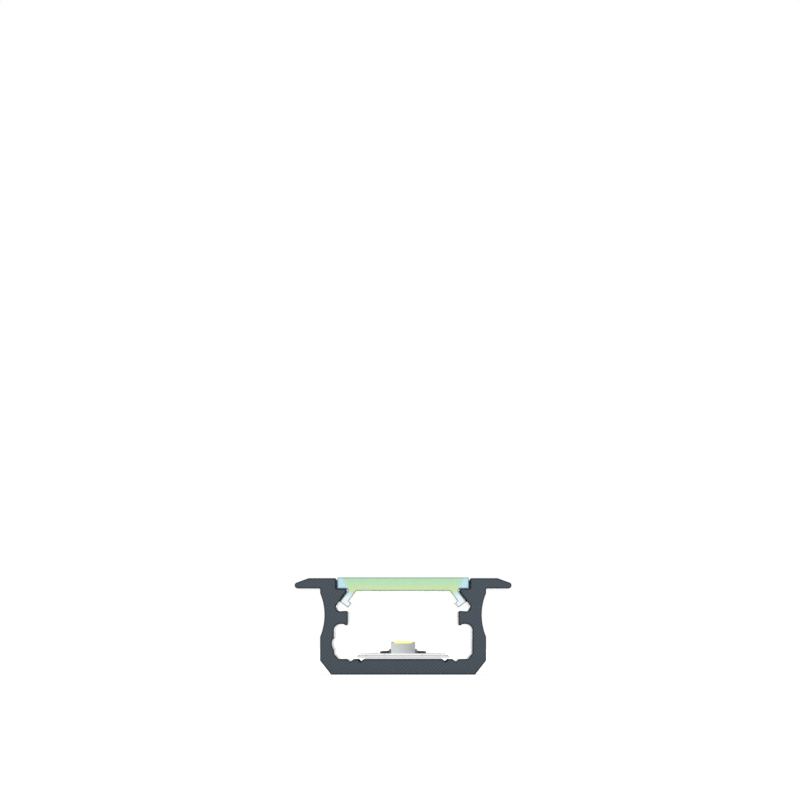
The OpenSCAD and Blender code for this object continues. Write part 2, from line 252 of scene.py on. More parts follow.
class ViewSettings(PropertyGroup):
    """Where the camera stands and how the section lies in the picture."""

    frame_w: length("Frame width", "Width of the picture at the profile's near end", 77.09)
    eye_h: length("Eye height", "Height of the camera above the floor", 3.2)
    lens: FloatProperty(
        name="Lens",
        description="Focal length in the camera's own millimetres, long for a flat view",
        default=1640.0,
        min=50.0,
    )
    middle_px: FloatProperty(
        name="Middle column",
        description="Pixel column of the section's middle",
        default=403.1,
        subtype="PIXEL",
    )
    base_px: FloatProperty(
        name="Base row",
        description="Pixel row of the underside of the base",
        default=674.64,
        subtype="PIXEL",
    )
    stage_w: FloatProperty(
        name="Floor width",
        description="Width of the square floor",
        default=24.0,
        min=1.0,
        unit="LENGTH",
    )


def unit(vectors):
    """Vectors of length one."""
    return vectors / np.maximum(np.linalg.norm(vectors, axis=-1, keepdims=True), 1e-12)


def outline(corners, inset=0.0, steps=8):
    """Points of a closed outline from its corners (u, v, radius), anticlockwise.

    Each side moves inwards by the inset, so its corner moves by inset * (a + b) / (1 + a . b), where a and
    b are the inward normals of its two sides. A radius shrinks by the inset where the corner stands out
    and grows by it where the corner turns in. The arc's centre is on the bisector, at radius / sin(half the
    angle between the sides), and the arc turns through the change of direction. Radius 0 stays a point.
    """
    corners = np.asarray(corners, float)
    here = corners[:, :2]
    before = unit(here - np.roll(here, 1, 0))
    after = unit(np.roll(here, -1, 0) - here)
    normal_a = np.stack([-before[:, 1], before[:, 0]], 1)
    normal_b = np.stack([-after[:, 1], after[:, 0]], 1)
    agreement = (normal_a * normal_b).sum(1, keepdims=True)
    moved = here + inset * (normal_a + normal_b) / (1 + agreement)
    cross = before[:, 0] * after[:, 1] - before[:, 1] * after[:, 0]
    turn = np.arctan2(cross, agreement[:, 0])
    stands_out = np.sign(turn)
    round_corner = corners[:, 2] > 0
    radius = np.where(round_corner, np.maximum(corners[:, 2] - stands_out * inset, LEAST_R), 0)
    reach = radius / np.maximum(np.cos(turn / 2), 1e-6)
    centre = moved + unit(after - before) * reach[:, None]
    start = np.arctan2(-stands_out * normal_a[:, 1], -stands_out * normal_a[:, 0])
    along = start[:, None] + turn[:, None] * np.linspace(0, 1, steps + 1)
    arcs = centre[:, None] + radius[:, None, None] * np.stack([np.cos(along), np.sin(along)], -1)
    kept = round_corner[:, None] | (np.arange(steps + 1) == 0)
    return arcs[kept]


def finer(points, pitch):
    """A closed outline with more points on its long sides, none further than the pitch from the next."""
    closed = np.vstack([points, points[:1]])
    run = np.concatenate([[0], np.cumsum(np.linalg.norm(np.diff(closed, axis=0), axis=1))])
    regular = np.linspace(0, run[-1], max(3, math.ceil(run[-1] / pitch)) + 1)
    stations = np.unique(np.round(np.concatenate([run, regular]), 9))[:-1]
    return np.stack([np.interp(stations, run, closed[:, i]) for i in (0, 1)], 1)


def at_y(points, y):
    """An outline in X and Z as a ring of points at one place along the length."""
    return np.stack([points[:, 0], np.full(len(points), y), points[:, 1]], 1)


def at_z(points, z):
    """An outline in X and Y as a ring of points at height z, which may differ from point to point."""
    return np.stack([points[:, 0], points[:, 1], np.broadcast_to(z, len(points))], 1)


def carried(corners, low_y, high_y, edge_break, steps=8):
    """A section carried along Y, drawn in by the edge break over the same distance at both ends."""
    full = outline(corners, 0.0, steps)
    drawn_in = outline(corners, edge_break, steps)
    return np.stack([
        at_y(drawn_in, low_y),
        at_y(full, low_y + edge_break),
        at_y(full, high_y - edge_break),
        at_y(drawn_in, high_y),
    ])


def skin(rings):
    """Points and faces of the closed skin over an array of rings.

    Point k of ring i is joined to point k + 1 and to the same two points of ring i + 1. A flat face closes
    the first ring and the last. Rings that run along +Y, or outwards and down, are anticlockwise seen
    from the first ring's side, so that every face points outwards.
    """
    number, size = rings.shape[:2]
    i, k = np.meshgrid(np.arange(number - 1), np.arange(size), indexing="ij")
    following = (k + 1) % size
    quads = np.stack(
        [i * size + k, (i + 1) * size + k, (i + 1) * size + following, i * size + following], -1
    )
    first_cap = np.arange(size)
    last_cap = (number - 1) * size + np.arange(size)[::-1]
    return rings.reshape(-1, 3), quads.reshape(-1, 4), [first_cap, last_cap]


def make(name, shells, materials, paint=lambda rings, quads: 0, cap_paint=0, sharp=30):
    """One object from the skins of several arrays of rings.

    paint gives the material number of each quad, cap_paint that of the flat ends, and edges that turn by
    more than sharp degrees stay crisp.
    """
    points = []
    faces = []
    numbers = []
    start = 0
    for rings in shells:
        skin_points, quads, caps = skin(rings)
        points.append(skin_points)
        faces += (quads + start).tolist() + [(cap + start).tolist() for cap in caps]
        numbers.append(np.broadcast_to(paint(rings, quads), len(quads)))
        numbers.append(np.full(len(caps), cap_paint))
        start += len(skin_points)
    mesh = bpy.data.meshes.new(name)
    mesh.from_pydata(np.vstack(points).tolist(), [], faces)
    mesh.polygons.foreach_set("material_index", np.concatenate(numbers).astype(np.int32))
    mesh.polygons.foreach_set("use_smooth", np.ones(len(mesh.polygons), bool))
    for material in materials:
        mesh.materials.append(material)
    mesh.set_sharp_from_angle(angle=math.radians(sharp))
    mesh.update()
    made = bpy.data.objects.new(name, mesh)
    bpy.context.scene.collection.objects.link(made)
    return made


def settle(piece, node_names, body):
    """The piece rides on the body and stands for the CAD nodes, which are hidden."""
    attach(piece, body)
    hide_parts(*node_names)
    return piece


def slab_rings(corners, low_z, high_z, edge_r, crown=0.0, steps=4):
    """Rings over a flat piece with round upper edges, from the middle of its top outwards and down.

    At angle a of the upper edge the outline moves in by edge_r * (1 - sin a) and rises to
    high - edge_r * (1 - cos a). Further in, the top is crowned by crown * (1 - (1 - t) ^ 2), where t runs
    from 0 at the edge to 1 at the innermost ring.
    """
    turns = np.linspace(0, math.pi / 2, steps + 1)
    rings = [
        at_z(outline(corners, edge_r * (1 - math.sin(a)), steps), high_z - edge_r * (1 - math.cos(a)))
        for a in turns
    ]
    if crown:
        span = min(np.ptp(np.asarray(corners)[:, :2], axis=0)) / 2 - edge_r
        shares = np.linspace(0.8, 0.16, 5)
        rings = [
            at_z(outline(corners, edge_r + share * span, steps), high_z + crown * (1 - (1 - share) ** 2))
            for share in shares
        ] + rings
    rings.append(at_z(outline(corners, 0.0, steps), low_z))
    return np.stack(rings)


def rectangle(low, high, radius):
    """Corners of an upright rectangle, each with the same radius."""
    return [
        (low[0], low[1], radius),
        (high[0], low[1], radius),
        (high[0], high[1], radius),
        (low[0], high[1], radius),
    ]


def node(tree, kind, inputs=None, **settings):
    """Adds a node of this kind, with its settings, and sets or links its inputs."""
    made = tree.nodes.new(kind)
    for key, value in settings.items():
        setattr(made, key, value)
    for key, value in (inputs or {}).items():
        if isinstance(value, NodeSocket):
            tree.links.new(value, made.inputs[key])
        else:
            made.inputs[key].default_value = value
    return made


def blank(name):
    """A new material with an empty node tree, that tree, and the place of each point on the object."""
    material = bpy.data.materials.new(name)
    material.use_nodes = True
    tree = material.node_tree
    tree.nodes.clear()
    place = node(tree, "ShaderNodeTexCoord").outputs["Object"]
    return material, tree, place


def show(tree, shader):
    """Sends a shader to the tree's output."""
    node(tree, "ShaderNodeOutputMaterial", {"Surface": shader})


def anodised_skin(finish):
    """Aluminium, extruded and anodised in slate.

    It gives the eye a satin metal with fine lines drawn by the die, which run the whole length.
    """
    # The die lines are 0.2 mm apart, coarser than real ones so that they show, and 60 times as long
    line_pitch = 0.2 * MM
    line_stretch = 60
    cloud_pitch = 9 * MM
    material, tree, place = blank("anodised_aluminium_extruded")
    drawn = node(tree, "ShaderNodeMapping", {"Vector": place, "Scale": (1, 1 / line_stretch, 1)})
    lines = node(tree, "ShaderNodeTexNoise", {
        "Vector": drawn.outputs["Vector"],
        "Scale": 1 / line_pitch,
        "Detail": 3.0,
        "Roughness": 0.6,
    })
    cloud = node(tree, "ShaderNodeTexNoise", {
        "Vector": place,
        "Scale": 1 / cloud_pitch,
        "Detail": 2.0,
    })
    tone = node(tree, "ShaderNodeMapRange", {
        "Value": lines.outputs[0],
        "From Min": 0.3,
        "From Max": 0.7,
        "To Min": 0.86,
        "To Max": 1.16,
    })
    cloud_tone = node(tree, "ShaderNodeMapRange", {
        "Value": cloud.outputs[0],
        "From Min": 0.3,
        "From Max": 0.7,
        "To Min": 0.95,
        "To Max": 1.05,
    })
    both = node(tree, "ShaderNodeMath", {
        0: tone.outputs["Result"],
        1: cloud_tone.outputs["Result"],
    }, operation="MULTIPLY")
    base = node(tree, "ShaderNodeVectorMath", {
        0: finish.anodised[:3],
        "Scale": both.outputs[0],
    }, operation="SCALE")
    rough = node(tree, "ShaderNodeMapRange", {
        "Value": lines.outputs[0],
        "From Min": 0.3,
        "From Max": 0.7,
        "To Min": 0.4,
        "To Max": 0.5,
    })
    bump = node(tree, "ShaderNodeBump", {
        "Height": lines.outputs[0],
        "Strength": 0.35,
        "Distance": 0.006 * MM,
    })
    shader = node(tree, "ShaderNodeBsdfPrincipled", {
        "Base Color": base.outputs["Vector"],
        "Metallic": 0.75,
        "Roughness": rough.outputs["Result"],
        "Coat Weight": 0.8,
        "Coat Roughness": 0.14,
        "Normal": bump.outputs["Normal"],
    })
    show(tree, shader.outputs["BSDF"])
    return material


def sawn_aluminium(finish, name, shade):
    """Aluminium, sawn across and left as cut.

    It gives the eye a flat grey-blue end with fine saw marks that run up to the right. A shade below 1
    darkens it: painted shade for the broken edge round the cut.
    """
    # The saw marks are 0.26 mm apart; a wave texture repeats every 2 pi / 20 of its scaled length
    mark_pitch = 0.26 * MM
    wave_period = 2 * math.pi / 20
    grain_pitch = 0.12 * MM
    material, tree, place = blank(name)
    turned = node(tree, "ShaderNodeMapping", {
        "Vector": place,
        "Rotation": (0, math.radians(-45), 0),
    })
    marks = node(tree, "ShaderNodeTexWave", {
        "Vector": turned.outputs["Vector"],
        "Scale": wave_period / mark_pitch,
        "Distortion": 1.2,
        "Detail": 2.0,
        "Detail Scale": 0.4,
    })
    grain = node(tree, "ShaderNodeTexNoise", {
        "Vector": place,
        "Scale": 1 / grain_pitch,
        "Detail": 2.0,
    })
    blended = node(tree, "ShaderNodeMix", {
        0: 0.2,
        2: marks.outputs[1],
        3: grain.outputs[0],
    })
    tone = node(tree, "ShaderNodeMix", {
        0: blended.outputs[0],
        6: finish.sawn_dark,
        7: finish.sawn_light,
    }, data_type="RGBA")
    base = node(tree, "ShaderNodeVectorMath", {0: tone.outputs[2], "Scale": shade}, operation="SCALE")
    bump = node(tree, "ShaderNodeBump", {
        "Height": blended.outputs[0],
        "Strength": 0.4,
        "Distance": 0.008 * MM,
    })
    shader = node(tree, "ShaderNodeBsdfPrincipled", {
        "Base Color": base.outputs["Vector"],
        "Metallic": 0.9,
        "Roughness": 0.5,
        "Normal": bump.outputs["Normal"],
    })
    show(tree, shader.outputs["BSDF"])
    return material


def cover_tint_and_painted_light(tree, place, finish):
    """The cover's colour at each place, as a colour socket.

    It is green over the lamps: painted light that stands in for their yellow light filling the blue
    acrylic. Outside the edge of that painted light it turns to the acrylic's own light blue. The edge lies
    at |x| = reach + lean * (z - underside). Below the underside it fades to the pale blue of the legs.
    """
    low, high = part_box("cover")
    underside = 8.08 * MM
    reach = 4.95 * MM
    blend_w = 0.5 * MM
    lean = 0.54
    split = node(tree, "ShaderNodeSeparateXYZ", {"Vector": place})
    distance = node(tree, "ShaderNodeMath", {0: split.outputs["X"]}, operation="ABSOLUTE")
    height = node(tree, "ShaderNodeMath", {0: split.outputs["Z"], 1: underside}, operation="SUBTRACT")
    leaned = node(tree, "ShaderNodeMath", {
        0: height.outputs[0],
        1: -lean,
        2: distance.outputs[0],
    }, operation="MULTIPLY_ADD")
    outside = node(tree, "ShaderNodeMapRange", {
        "Value": leaned.outputs[0],
        "From Min": reach,
        "From Max": reach + blend_w,
    }, interpolation_type="SMOOTHSTEP")
    above = node(tree, "ShaderNodeMapRange", {
        "Value": split.outputs["Z"],
        "From Min": underside,
        "From Max": high.z,
    })
    # Painted light: the green of the lamps' light, mixed from the underside up to the top
    green = node(tree, "ShaderNodeMix", {
        0: above.outputs["Result"],
        6: finish.cover_painted_light_under,
        7: finish.cover_painted_light_top,
    }, data_type="RGBA")
    blue = node(tree, "ShaderNodeMix", {
        0: outside.outputs["Result"],
        6: green.outputs[2],
        7: finish.cover_edge,
    }, data_type="RGBA")
    in_leg = node(tree, "ShaderNodeMapRange", {
        "Value": split.outputs["Z"],
        "From Min": underside,
        "From Max": (underside + low.z) / 2,
    }, interpolation_type="SMOOTHSTEP")
    tint = node(tree, "ShaderNodeMix", {
        0: in_leg.outputs["Result"],
        6: blue.outputs[2],
        7: finish.cover_leg,
    }, data_type="RGBA")
    return tint.outputs[2]


def clear_acrylic(finish):
    """Acrylic, extruded, light blue and clear.

    It gives the eye a glossy see-through cover with faint lines along its length.
    """
    # The draw lines are 0.6 mm apart, coarse so that they show
    line_pitch = 0.6 * MM
    line_stretch = 80
    # Share of the cut ends' tint that shows when looking through the cover's faces
    depth_of_tint = 0.35
    material, tree, place = blank("clear_acrylic_extruded")
    # The faces show a share of the tint, with the painted lamp light in it
    through = node(tree, "ShaderNodeMix", {
        0: depth_of_tint,
        6: (1, 1, 1, 1),
        7: cover_tint_and_painted_light(tree, place, finish),
    }, data_type="RGBA")
    drawn = node(tree, "ShaderNodeMapping", {"Vector": place, "Scale": (1, 1 / line_stretch, 1)})
    lines = node(tree, "ShaderNodeTexNoise", {
        "Vector": drawn.outputs["Vector"],
        "Scale": 1 / line_pitch,
        "Detail": 2.0,
    })
    rough = node(tree, "ShaderNodeMapRange", {
        "Value": lines.outputs[0],
        "From Min": 0.3,
        "From Max": 0.7,
        "To Min": 0.08,
        "To Max": 0.16,
    })
    bump = node(tree, "ShaderNodeBump", {
        "Height": lines.outputs[0],
        "Strength": 0.15,
        "Distance": 0.01 * MM,
    })
    shader = node(tree, "ShaderNodeBsdfPrincipled", {
        "Base Color": through.outputs[2],
        "Roughness": rough.outputs["Result"],
        "IOR": 1.49,
        "Transmission Weight": 0.9,
        "Normal": bump.outputs["Normal"],
    })
    show(tree, shader.outputs["BSDF"])
    return material


def cut_acrylic(finish, name, shade):
    """Acrylic, sawn across, so its ends are frosted and show the tint in full, painted lamp light included.

    A shade below 1 darkens it: painted shade for the broken edge round the cut, as if it caught less light.
    """
    # The cut's fine scratches are 0.15 mm apart
    scratch_pitch = 0.15 * MM
    material, tree, place = blank(name)
    tint = cover_tint_and_painted_light(tree, place, finish)
    scratches = node(tree, "ShaderNodeTexNoise", {
        "Vector": place,
        "Scale": 1 / scratch_pitch,
        "Detail": 3.0,
    })
    tone = node(tree, "ShaderNodeMapRange", {
        "Value": scratches.outputs[0],
        "From Min": 0.3,
        "From Max": 0.7,
        "To Min": 0.97 * shade,
        "To Max": 1.03 * shade,
    })
    base = node(tree, "ShaderNodeVectorMath", {
        0: tint,
        "Scale": tone.outputs["Result"],
    }, operation="SCALE")
    bump = node(tree, "ShaderNodeBump", {
        "Height": scratches.outputs[0],
        "Strength": 0.2,
        "Distance": 0.005 * MM,
    })
    shader = node(tree, "ShaderNodeBsdfPrincipled", {
        "Base Color": base.outputs["Vector"],
        "Roughness": 0.55,
        "IOR": 1.49,
        "Transmission Weight": 0.04,
        "Normal": bump.outputs["Normal"],
    })
    show(tree, shader.outputs["BSDF"])
    return material


def foam_tape(finish):
    """Acrylic foam tape, slit to width: a soft grey layer with a fine closed-cell grain."""
    # The cells are 0.1 mm across
    cell = 0.1 * MM
    material, tree, place = blank("acrylic_foam_tape")
    cells = node(tree, "ShaderNodeTexVoronoi", {"Vector": place, "Scale": 1 / cell})
    tone = node(tree, "ShaderNodeMapRange", {
        "Value": cells.outputs["Distance"],
        "To Min": 0.94,
        "To Max": 1.04,
    })
    base = node(tree, "ShaderNodeVectorMath", {
        0: finish.tape[:3],
        "Scale": tone.outputs["Result"],
    }, operation="SCALE")
    bump = node(tree, "ShaderNodeBump", {
        "Height": cells.outputs["Distance"],
        "Strength": 0.3,
        "Distance": 0.01 * MM,
    })
    shader = node(tree, "ShaderNodeBsdfPrincipled", {
        "Base Color": base.outputs["Vector"],
        "Roughness": 0.8,
        "Normal": bump.outputs["Normal"],
    })
    show(tree, shader.outputs["BSDF"])
    return material


def board_laminate(finish):
    """Polyimide film between two foils, laminated: a pale core with greyer lines at its faces and sides,
    drawn as the foils and as painted shade along the joins between layers and along its side edges.
    """
    low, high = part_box("board")
    # Half of each line's thickness blends into the core, and the lower line shows only faintly
    line_t = 0.06 * MM
    lower_share = 0.3
    # The film's fibres are 0.5 mm long and show as a faint mottle
    mottle_pitch = 0.5 * MM
    material, tree, place = blank("laminated_board_film")
    split = node(tree, "ShaderNodeSeparateXYZ", {"Vector": place})
    upper_foil_and_shade = node(tree, "ShaderNodeMapRange", {
        "Value": split.outputs["Z"],
        "From Min": high.z - 1.5 * line_t,
        "From Max": high.z - 0.5 * line_t,
    })
    lower_foil_and_shade = node(tree, "ShaderNodeMapRange", {
        "Value": split.outputs["Z"],
        "From Min": low.z + 0.5 * line_t,
        "From Max": low.z + 1.5 * line_t,
        "To Min": lower_share,
        "To Max": 0.0,
    })
    distance = node(tree, "ShaderNodeMath", {0: split.outputs["X"]}, operation="ABSOLUTE")
    # Painted shade: the board's side edges are greyed
    side_edge = node(tree, "ShaderNodeMapRange", {
        "Value": distance.outputs[0],
        "From Min": high.x - 1.5 * line_t,
        "From Max": high.x - 0.5 * line_t,
    })
    face_foils_and_shade = node(tree, "ShaderNodeMath", {
        0: upper_foil_and_shade.outputs["Result"],
        1: lower_foil_and_shade.outputs["Result"],
    }, operation="MAXIMUM")
    foil_and_shade_mask = node(tree, "ShaderNodeMath", {
        0: face_foils_and_shade.outputs[0],
        1: side_edge.outputs["Result"],
    }, operation="MAXIMUM")
    mottle = node(tree, "ShaderNodeTexNoise", {
        "Vector": place,
        "Scale": 1 / mottle_pitch,
        "Detail": 2.0,
    })
    tone = node(tree, "ShaderNodeMapRange", {
        "Value": mottle.outputs[0],
        "To Min": 0.97,
        "To Max": 1.03,
    })
    layered = node(tree, "ShaderNodeMix", {
        0: foil_and_shade_mask.outputs[0],
        6: finish.board,
        7: finish.board_foil_and_shade,
    }, data_type="RGBA")
    base = node(tree, "ShaderNodeVectorMath", {
        0: layered.outputs[2],
        "Scale": tone.outputs["Result"],
    }, operation="SCALE")
    shader = node(tree, "ShaderNodeBsdfPrincipled", {
        "Base Color": base.outputs["Vector"],
        "Roughness": 0.45,
    })
    show(tree, shader.outputs["BSDF"])
    return material


def white_solder_mask(finish):
    """White solder mask, printed and cured on the board.

    It gives the eye a matte white layer, a little hollow along the gaps between the foils below it, with
    painted shade in those hollows on its top, a thin dark line printed in the middle of its length, where
    the two units part, and a painted glow that is faint on its edges and stronger on its top.
    """
    # Gaps between the foils lie 1.5 mm and 3.92 mm from the middle and are 0.12 mm wide
    gap_places = (1.5 * MM, 3.92 * MM)
    gap_w = 0.12 * MM
    cut_line_w = 0.16 * MM
    print_grain = 0.08 * MM
    # Painted light: a glow that stands in for light from the strip's own lamps, faint on its edges and
    # stronger on its top
    edge_light = 0.02
    top_light = 0.18
    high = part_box("coverlay")[1]
    material, tree, place = blank("white_solder_mask")
    split = node(tree, "ShaderNodeSeparateXYZ", {"Vector": place})
    side = node(tree, "ShaderNodeMath", {0: split.outputs["X"]}, operation="ABSOLUTE")
    hollows = None
    for gap_place in gap_places:
        off_gap = node(tree, "ShaderNodeMath", {0: side.outputs[0], 1: gap_place}, operation="SUBTRACT")
        to_gap = node(tree, "ShaderNodeMath", {0: off_gap.outputs[0]}, operation="ABSOLUTE")
        hollow = node(tree, "ShaderNodeMapRange", {
            "Value": to_gap.outputs[0],
            "From Min": gap_w / 2,
            "From Max": gap_w,
            "To Min": 1.0,
            "To Max": 0.0,
        }, interpolation_type="SMOOTHSTEP").outputs["Result"]
        if hollows is None:
            hollows = hollow
        else:
            hollows = node(tree, "ShaderNodeMath", {0: hollows, 1: hollow}, operation="MAXIMUM").outputs[0]
    to_cut = node(tree, "ShaderNodeMath", {0: split.outputs["Y"]}, operation="ABSOLUTE")
    near_cut = node(tree, "ShaderNodeMapRange", {
        "Value": to_cut.outputs[0],
        "From Min": cut_line_w / 2,
        "From Max": cut_line_w / 2 + 0.03 * MM,
        "To Min": 1.0,
        "To Max": 0.0,
    })
    grain = node(tree, "ShaderNodeTexNoise", {
        "Vector": place,
        "Scale": 1 / print_grain,
        "Detail": 2.0,
    })
    on_top = node(tree, "ShaderNodeMapRange", {
        "Value": split.outputs["Z"],
        "From Min": high.z - 0.02 * MM,
        "From Max": high.z - 0.01 * MM,
    })
    seen_hollows = node(tree, "ShaderNodeMath", {
        0: hollows,
        1: on_top.outputs["Result"],
    }, operation="MULTIPLY")
    relief = node(tree, "ShaderNodeMath", {
        0: seen_hollows.outputs[0],
        1: -3.0,
        2: grain.outputs[0],
    }, operation="MULTIPLY_ADD")
    # Painted shade: the hollows on the top are darkened to the tape's grey
    shaded = node(tree, "ShaderNodeMix", {
        0: seen_hollows.outputs[0],
        6: finish.coverlay,
        7: finish.tape,
    }, data_type="RGBA")
    printed = node(tree, "ShaderNodeMix", {
        0: near_cut.outputs["Result"],
        6: shaded.outputs[2],
        7: finish.lead,
    }, data_type="RGBA")
    bump = node(tree, "ShaderNodeBump", {
        "Height": relief.outputs[0],
        "Strength": 0.3,
        "Distance": 0.004 * MM,
    })
    # Painted light: the layer glows in its own colour, stronger on its top, though it is no lamp
    lit = node(tree, "ShaderNodeMapRange", {
        "Value": on_top.outputs["Result"],
        "To Min": edge_light,
        "To Max": top_light,
    })
    glow = node(tree, "ShaderNodeVectorMath", {
        0: printed.outputs[2],
        "Scale": lit.outputs["Result"],
    }, operation="SCALE")
    shader = node(tree, "ShaderNodeBsdfPrincipled", {
        "Base Color": printed.outputs[2],
        "Roughness": 0.6,
        "Emission Color": glow.outputs["Vector"],
        "Emission Strength": 1.0,
        "Normal": bump.outputs["Normal"],
    })
    show(tree, shader.outputs["BSDF"])
    return material


def moulded_housing(finish, strip):
    """White polymer, moulded: satin walls, lighter towards the left with painted light and darker towards
    the right with painted shade, the rails beside the cup greyed with painted shade, and a faint painted
    glow.
    """
    low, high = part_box("lamp_housing_1")
    rim_z = high.z - strip.rail_h
    # The mould's fine spark texture is 0.07 mm across
    spark_pitch = 0.07 * MM
    material, tree, place = blank("white_polymer_moulded")
    split = node(tree, "ShaderNodeSeparateXYZ", {"Vector": place})
    across = node(tree, "ShaderNodeMapRange", {
        "Value": split.outputs["X"],
        "From Min": low.x,
        "From Max": high.x,
    })
    # Painted light and shade: the walls go from lit on the left to shaded on the right
    wall = node(tree, "ShaderNodeMix", {
        0: across.outputs["Result"],
        6: finish.housing_painted_light,
        7: finish.housing_painted_shade,
    }, data_type="RGBA")
    # Painted shade: the rails above the rim take the grey rail colour
    on_rail = node(tree, "ShaderNodeMapRange", {
        "Value": split.outputs["Z"],
        "From Min": rim_z,
        "From Max": rim_z + strip.mould_r,
    })
    base = node(tree, "ShaderNodeMix", {
        0: on_rail.outputs["Result"],
        6: wall.outputs[2],
        7: finish.rail,
    }, data_type="RGBA")
    spark = node(tree, "ShaderNodeTexNoise", {
        "Vector": place,
        "Scale": 1 / spark_pitch,
        "Detail": 2.0,
    })
    bump = node(tree, "ShaderNodeBump", {
        "Height": spark.outputs[0],
        "Strength": 0.25,
        "Distance": 0.006 * MM,
    })
    shader = node(tree, "ShaderNodeBsdfPrincipled", {
        "Base Color": base.outputs[2],
        "Roughness": 0.5,
        "Subsurface Weight": 0.1,
        "Subsurface Radius": (0.3 * MM, 0.3 * MM, 0.25 * MM),
        "Subsurface Scale": 1.0,
        # Painted light: the moulding glows a little in its own colour, though it is no lamp
        "Emission Color": base.outputs[2],
        "Emission Strength": 0.26,
        "Normal": bump.outputs["Normal"],
    })
    show(tree, shader.outputs["BSDF"])
    return material


def silicone_gel(finish):
    """Silicone gel with yellow phosphor, poured and cured: a glossy cushion that glows pale yellow."""
    # Phosphor grains are 0.05 mm across
    grain = 0.05 * MM
    material, tree, place = blank("phosphor_silicone_gel")
    grains = node(tree, "ShaderNodeTexNoise", {"Vector": place, "Scale": 1 / grain, "Detail": 1.0})
    base = node(tree, "ShaderNodeMix", {
        0: grains.outputs[0],
        6: finish.gel,
        7: finish.gel_glow,
    }, data_type="RGBA")
    shader = node(tree, "ShaderNodeBsdfPrincipled", {
        "Base Color": base.outputs[2],
        "Roughness": 0.12,
        "IOR": 1.41,
        "Subsurface Weight": 0.3,
        "Subsurface Radius": (0.4 * MM, 0.35 * MM, 0.1 * MM),
        "Subsurface Scale": 1.0,
        "Emission Color": finish.gel_glow,
        "Emission Strength": 0.7,
    })
    show(tree, shader.outputs["BSDF"])
    return material


def oxidised_lead(finish, strip):
    """Copper, punched, bent and oxidised black: a dull dark metal, paler on its upright part."""
    # Wear shows in patches 0.4 mm across
    patch = 0.4 * MM
    upright_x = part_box("lamp_housing_1")[1].x + strip.upright_t
    material, tree, place = blank("black_oxidised_copper")
    wear = node(tree, "ShaderNodeTexNoise", {"Vector": place, "Scale": 1 / patch, "Detail": 3.0})
    tone = node(tree, "ShaderNodeMapRange", {
        "Value": wear.outputs[0],
        "From Min": 0.35,
        "From Max": 0.7,
        "To Min": 0.9,
        "To Max": 1.25,
    })
    split = node(tree, "ShaderNodeSeparateXYZ", {"Vector": place})
    side = node(tree, "ShaderNodeMath", {0: split.outputs["X"]}, operation="ABSOLUTE")
    upright = node(tree, "ShaderNodeMapRange", {
        "Value": side.outputs[0],
        "From Min": upright_x - 0.06 * MM,
        "From Max": upright_x,
        "To Min": 1.0,
        "To Max": 0.0,
    })
    upright_paled = node(tree, "ShaderNodeMix", {
        0: upright.outputs["Result"],
        6: finish.lead,
        7: finish.lead_upright_pale,
    }, data_type="RGBA")
    base = node(tree, "ShaderNodeVectorMath", {
        0: upright_paled.outputs[2],
        "Scale": tone.outputs["Result"],
    }, operation="SCALE")
    shader = node(tree, "ShaderNodeBsdfPrincipled", {
        "Base Color": base.outputs["Vector"],
        "Metallic": 0.7,
        "Roughness": 0.45,
    })
    show(tree, shader.outputs["BSDF"])
    return material


def tinned_copper(finish):
    """Copper, tinned and reflowed: bright metal with a soft unevenness where the solder froze."""
    # The frozen ripples are 0.9 mm apart
    ripple_pitch = 0.9 * MM
    material, tree, place = blank("tinned_copper")
    ripples = node(tree, "ShaderNodeTexNoise", {
        "Vector": place,
        "Scale": 1 / ripple_pitch,
        "Detail": 1.0,
    })
    rough = node(tree, "ShaderNodeMapRange", {
        "Value": ripples.outputs[0],
        "From Min": 0.3,
        "From Max": 0.7,
        "To Min": 0.3,
        "To Max": 0.45,
    })
    bump = node(tree, "ShaderNodeBump", {
        "Height": ripples.outputs[0],
        "Strength": 0.4,
        "Distance": 0.02 * MM,
    })
    shader = node(tree, "ShaderNodeBsdfPrincipled", {
        "Base Color": finish.tin,
        "Metallic": 0.6,
        "Roughness": rough.outputs["Result"],
        "Normal": bump.outputs["Normal"],
    })
    show(tree, shader.outputs["BSDF"])
    return material


def glazed_ceramic(finish):
    """Fired alumina with a printed black glaze: white sides under a glossy black top."""
    low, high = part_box("resistor_1")
    glaze_t = 0.12 * MM
    # The glaze waves over 0.5 mm
    wave_pitch = 0.5 * MM
    material, tree, place = blank("glazed_alumina")
    split = node(tree, "ShaderNodeSeparateXYZ", {"Vector": place})
    in_glaze = node(tree, "ShaderNodeMapRange", {
        "Value": split.outputs["Z"],
        "From Min": high.z - glaze_t,
        "From Max": high.z - glaze_t + 0.02 * MM,
    })
    base = node(tree, "ShaderNodeMix", {
        0: in_glaze.outputs["Result"],
        6: finish.ceramic,
        7: finish.glaze,
    }, data_type="RGBA")
    waves = node(tree, "ShaderNodeTexNoise", {"Vector": place, "Scale": 1 / wave_pitch})
    bump = node(tree, "ShaderNodeBump", {
        "Height": waves.outputs[0],
        "Strength": 0.2,
        "Distance": 0.02 * MM,
    })
    shader = node(tree, "ShaderNodeBsdfPrincipled", {
        "Base Color": base.outputs[2],
        "Roughness": 0.3,
        "Normal": bump.outputs["Normal"],
    })
    show(tree, shader.outputs["BSDF"])
    return material


